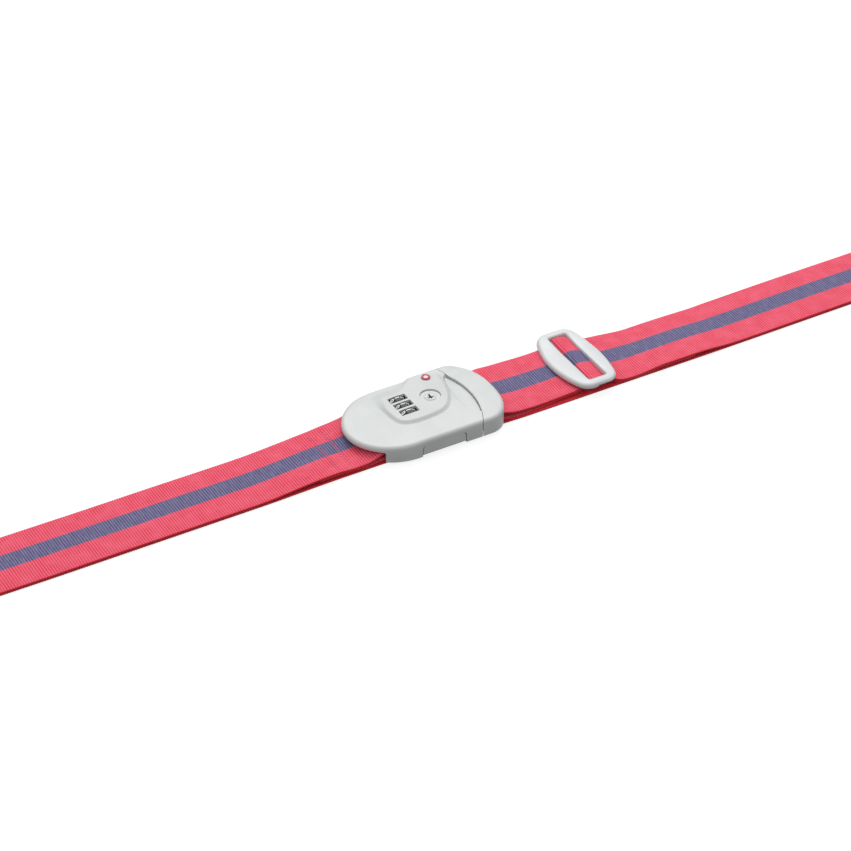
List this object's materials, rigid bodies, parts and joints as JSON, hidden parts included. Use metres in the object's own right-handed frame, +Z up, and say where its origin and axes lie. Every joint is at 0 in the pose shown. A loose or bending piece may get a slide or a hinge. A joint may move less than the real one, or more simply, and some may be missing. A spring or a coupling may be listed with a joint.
{
  "type": "luggage strap",
  "caption": "Webbing luggage strap with a combination-lock side-release buckle and a slider, closed and laid flat.",
  "frame": {"origin": "on the surface that the strap lies on, under the middle of the buckle and of the whole closed strap", "axes": "+X along the strap from the lock half of the buckle to the insert half, +Y across the webbing, +Z up out of the buckle's face"},
  "size_m": [0.96, 0.0653, 0.0168],
  "materials": {
    "webbing": "ribbed polyester webbing with a woven middle stripe",
    "buckle_shell": "fine satin moulding, light warm grey",
    "slider_shell": "satin moulding, pale grey",
    "screw_steel": "plated",
    "bar_steel": "drawn rod",
    "plate_steel": "stamped and plated",
    "spring_steel": "spring wire and strip",
    "dial_black": "black wheel with white digits",
    "inner_moulding": "unpainted acetal",
    "cylinder_metal": "die cast, satin plated",
    "wafer_brass": "stamped",
    "ring_red": "gloss",
    "lens_clear": "moulded"
  },
  "bodies": {
    "lock_body": {"webbing_lock_side": "webbing", "top_cover": "buckle_shell", "rear_cover": "buckle_shell", "cover_screws": "screw_steel", "lock_webbing_bar": "bar_steel", "lock_chassis": "plate_steel", "dial_click_spring": "spring_steel", "shaft_spring": "spring_steel", "key_cylinder": "cylinder_metal", "status_ring": "ring_red", "status_lens": "lens_clear", "tab_spring_front": "spring_steel", "tab_spring_back": "spring_steel"},
    "insert": {"webbing_insert_side": "webbing", "webbing_loop": "webbing", "webbing_tail": "webbing", "insert_cover": "buckle_shell", "insert_rear_cover": "buckle_shell", "insert_screws": "screw_steel", "insert_frame": "inner_moulding", "arm_pins": "bar_steel", "insert_webbing_bar": "bar_steel"},
    "slider": {"slider_frame": "slider_shell", "webbing_in_slider": "webbing"},
    "key_plug": {"key_plug": "cylinder_metal", "plug_wafers": "wafer_brass", "plug_clip": "spring_steel", "plug_cam": "cylinder_metal"},
    "lock_plate": {"lock_plate": "plate_steel"},
    "reset_shaft": {"dial_shaft": "bar_steel", "reset_button": "inner_moulding"},
    "dial_1": {"dial_1": "dial_black", "dial_sleeve_1": "inner_moulding"},
    "dial_2": {"dial_2": "dial_black", "dial_sleeve_2": "inner_moulding"},
    "dial_3": {"dial_3": "dial_black", "dial_sleeve_3": "inner_moulding"},
    "release_tab_front": {"release_tab_front": "buckle_shell"},
    "release_tab_back": {"release_tab_back": "buckle_shell"},
    "latch_arm_front": {"latch_arm_front": "inner_moulding"},
    "latch_arm_back": {"latch_arm_back": "inner_moulding"}
  },
  "joints": [
    {"name": "insert_slide", "type": "slide", "parent": "lock_body", "child": "insert", "axis": [1, 0, 0], "range_m": [0, 0.034]},
    {"name": "slider_shift", "type": "slide", "parent": "insert", "child": "slider", "axis": [1, 0, 0], "range_m": [-0.01, 0.02], "deforming": ["webbing_loop", "webbing_in_slider"]},
    {"name": "release_tab_front_press", "type": "slide", "parent": "lock_body", "child": "release_tab_front", "axis": [0, 1, 0], "range_m": [0, 0.002], "stiffness_N_per_m": 500, "springref_m": -0.001, "deforming": ["tab_spring_front"]},
    {"name": "release_tab_back_press", "type": "slide", "parent": "lock_body", "child": "release_tab_back", "axis": [0, -1, 0], "range_m": [0, 0.002], "stiffness_N_per_m": 500, "springref_m": -0.001, "deforming": ["tab_spring_back"]},
    {"name": "latch_arm_front_swing", "type": "hinge", "parent": "insert", "child": "latch_arm_front", "pos_m": [0.024, -0.022, 0.0062], "axis": [0, 0, 1], "range_deg": [-3.3, 0]},
    {"name": "latch_arm_back_swing", "type": "hinge", "parent": "insert", "child": "latch_arm_back", "pos_m": [0.024, 0.022, 0.0062], "axis": [0, 0, 1], "range_deg": [0, 3.3]},
    {"name": "key_turn", "type": "hinge", "parent": "lock_body", "child": "key_plug", "pos_m": [0.011, 0.0063, 0.012], "axis": [0, 0, 1], "range_deg": [0, 90]},
    {"name": "lock_plate_slide", "type": "slide", "parent": "lock_body", "child": "lock_plate", "axis": [1, 0, 0], "range_m": [0, 0.00424]},
    {"name": "reset_press", "type": "slide", "parent": "lock_body", "child": "reset_shaft", "axis": [0, -1, 0], "range_m": [0, 0.0015], "stiffness_N_per_m": 600, "springref_m": -0.001, "deforming": ["shaft_spring"]},
    {"name": "dial_1_turn", "type": "hinge", "parent": "lock_body", "child": "dial_1", "pos_m": [-0.0094, 0.0133, 0.0104], "axis": [0, 1, 0], "continuous": true},
    {"name": "dial_2_turn", "type": "hinge", "parent": "lock_body", "child": "dial_2", "pos_m": [-0.0094, 0.0057, 0.0104], "axis": [0, 1, 0], "continuous": true},
    {"name": "dial_3_turn", "type": "hinge", "parent": "lock_body", "child": "dial_3", "pos_m": [-0.0094, -0.0019, 0.0104], "axis": [0, 1, 0], "continuous": true}
  ],
  "couplings": [
    {"joint": "latch_arm_front_swing", "follows": "release_tab_front_press", "rad_per_m": -28.169},
    {"joint": "latch_arm_back_swing", "follows": "release_tab_back_press", "rad_per_m": 28.169},
    {"joint": "key_turn", "follows": "lock_plate_slide", "rad_per_m": 370.37}
  ]
}
